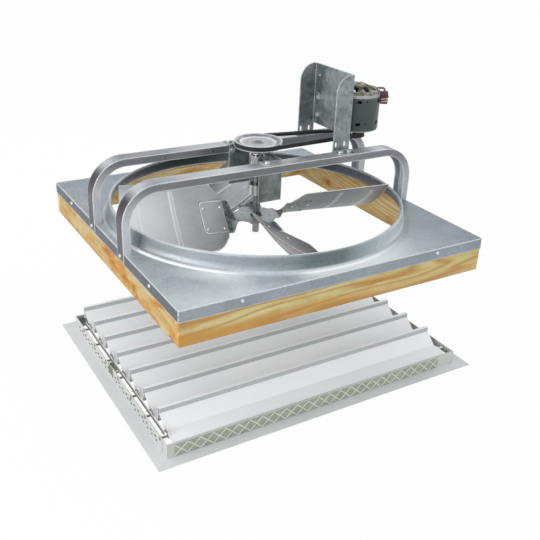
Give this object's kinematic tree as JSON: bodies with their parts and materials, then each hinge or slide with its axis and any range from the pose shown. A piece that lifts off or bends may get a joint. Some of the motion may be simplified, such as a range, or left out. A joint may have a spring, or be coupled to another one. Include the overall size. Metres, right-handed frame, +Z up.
{
  "type": "whole house fan",
  "caption": "Belt driven whole house fan: bladed rotor in a square timber-edged venturi panel, side motor on arched rails, and its louvered ceiling shutter.",
  "frame": {"origin": "under the middle of the shutter's trim flange, on the plane that its underside lies in", "axes": "+Z up, along the fan shaft; +X to the right along the two rails and the louvers; +Y to the back, so the camera of the picture looks from -X -Y"},
  "size_m": [0.996, 0.876, 0.8175],
  "materials": {
    "pine": "sawn and planed pine boards, clear grain, satin",
    "galvanised_panel": "galvanised sheet with a fine spangle, semi-matt",
    "galvanised_rail": "galvanised sheet, spangled, semi-gloss",
    "zinc_fasteners": "bright zinc plate",
    "bearing_steel": "ground and pressed bearing steel",
    "dark_steel": "dark oiled steel",
    "pulley_steel": "pressed steel pulley with a worn bright rim",
    "blade_steel": "galvanised blade sheet, satin",
    "belt_rubber": "black fabric-wrapped rubber",
    "motor_paint": "dark grey-green enamel, satin",
    "motor_casting": "die cast, lightly grained",
    "core_steel": "stacked steel sheets",
    "copper_winding": "varnished copper wire",
    "pulley_maroon": "dark red-brown enamel",
    "black_plastic": "moulded black nylon",
    "lead_insulation": "insulated leads, coloured red, white and black in the render",
    "white_enamel": "baked white enamel, satin",
    "seal_felt": "quilted seal tape with a diamond pattern"
  },
  "bodies": {
    "housing": {"board_front": "pine", "board_back": "pine", "board_left": "pine", "board_right": "pine", "corner_nails": "zinc_fasteners", "venturi_panel": "galvanised_panel", "skirt_screws": "zinc_fasteners", "rail_front": "galvanised_rail", "rail_back": "galvanised_rail", "bearing_bracket": "galvanised_rail", "bracket_bolts": "zinc_fasteners", "hex_nuts": "zinc_fasteners", "bearing_housings": "bearing_steel", "bearing_races": "bearing_steel", "bearing_bolts": "zinc_fasteners", "drive_belt": "belt_rubber", "motor_bracket": "galvanised_rail", "motor_cradle": "dark_steel", "motor_mount_bolts": "zinc_fasteners", "motor_shell": "motor_paint", "motor_top_bell": "motor_casting", "motor_bottom_bell": "motor_casting", "motor_through_bolts": "zinc_fasteners", "motor_stator": "core_steel", "stator_windings": "copper_winding", "motor_bearings": "bearing_steel", "wire_connector": "black_plastic", "lead_wires": "lead_insulation", "frame_front": "white_enamel", "frame_back": "white_enamel", "frame_left": "white_enamel", "frame_right": "white_enamel", "corner_clips": "zinc_fasteners", "seal_strip": "seal_felt", "pivot_bushings": "black_plastic", "return_spring": "dark_steel", "spring_anchor": "dark_steel"},
    "fan_rotor": {"fan_shaft": "dark_steel", "fan_pulley": "pulley_steel", "set_screws": "dark_steel", "fan_hub": "dark_steel", "blade_spider": "blade_steel", "blade_left": "blade_steel", "blade_right": "blade_steel", "blade_front": "blade_steel", "blade_back": "blade_steel", "blade_rivets": "zinc_fasteners", "bearing_inner_rings": "bearing_steel"},
    "ball_cages": {"bearing_balls": "bearing_steel"},
    "motor_armature": {"motor_rotor": "core_steel", "motor_shaft": "dark_steel", "motor_pulley": "pulley_maroon"},
    "louver_1_leaf": {"louver_1": "white_enamel"},
    "louver_2_leaf": {"louver_2": "white_enamel"},
    "louver_3_leaf": {"louver_3": "white_enamel"},
    "louver_4_leaf": {"louver_4": "white_enamel"},
    "louver_5_leaf": {"louver_5": "white_enamel"},
    "louver_6_leaf": {"louver_6": "white_enamel"},
    "louver_7_leaf": {"louver_7": "white_enamel"},
    "tie_bar_link": {"tie_bar": "white_enamel"}
  },
  "joints": [
    {"name": "fan_spin", "type": "hinge", "parent": "housing", "child": "fan_rotor", "pos_m": [-0.026, 0, 0.4465], "axis": [0, 0, 1], "continuous": true},
    {"name": "ball_cage_spin", "type": "hinge", "parent": "housing", "child": "ball_cages", "pos_m": [-0.026, 0, 0.4465], "axis": [0, 0, 1], "continuous": true},
    {"name": "motor_spin", "type": "hinge", "parent": "housing", "child": "motor_armature", "pos_m": [0.277, -0.02, 0.4465], "axis": [0, 0, 1], "continuous": true},
    {"name": "louver_1_swing", "type": "hinge", "parent": "housing", "child": "louver_1_leaf", "pos_m": [0, 0.258, 0.0335], "axis": [1, 0, 0], "range_deg": [0, 70]},
    {"name": "louver_2_swing", "type": "hinge", "parent": "housing", "child": "louver_2_leaf", "pos_m": [0, 0.162, 0.0335], "axis": [1, 0, 0], "range_deg": [0, 70]},
    {"name": "louver_3_swing", "type": "hinge", "parent": "housing", "child": "louver_3_leaf", "pos_m": [0, 0.066, 0.0335], "axis": [1, 0, 0], "range_deg": [0, 70]},
    {"name": "louver_4_swing", "type": "hinge", "parent": "housing", "child": "louver_4_leaf", "pos_m": [0, -0.03, 0.0335], "axis": [1, 0, 0], "range_deg": [0, 70]},
    {"name": "louver_5_swing", "type": "hinge", "parent": "housing", "child": "louver_5_leaf", "pos_m": [0, -0.126, 0.0335], "axis": [1, 0, 0], "range_deg": [0, 70]},
    {"name": "louver_6_swing", "type": "hinge", "parent": "housing", "child": "louver_6_leaf", "pos_m": [0, -0.222, 0.0335], "axis": [1, 0, 0], "range_deg": [0, 70]},
    {"name": "louver_7_swing", "type": "hinge", "parent": "housing", "child": "louver_7_leaf", "pos_m": [0, -0.318, 0.0335], "axis": [1, 0, 0], "range_deg": [0, 70]},
    {"name": "tie_bar_pivot", "type": "hinge", "parent": "louver_4_leaf", "child": "tie_bar_link", "pos_m": [-0.451, -0.02197, 0.04497], "axis": [1, 0, 0], "range_deg": [-70, 0]}
  ],
  "couplings": [
    {"joint": "ball_cage_spin", "follows": "fan_spin", "ratio": 0.389},
    {"joint": "motor_spin", "follows": "fan_spin", "ratio": 2.3077},
    {"joint": "louver_1_swing", "follows": "louver_4_swing", "ratio": 1},
    {"joint": "louver_2_swing", "follows": "louver_4_swing", "ratio": 1},
    {"joint": "louver_3_swing", "follows": "louver_4_swing", "ratio": 1},
    {"joint": "louver_5_swing", "follows": "louver_4_swing", "ratio": 1},
    {"joint": "louver_6_swing", "follows": "louver_4_swing", "ratio": 1},
    {"joint": "louver_7_swing", "follows": "louver_4_swing", "ratio": 1},
    {"joint": "tie_bar_pivot", "follows": "louver_4_swing", "ratio": -1}
  ]
}
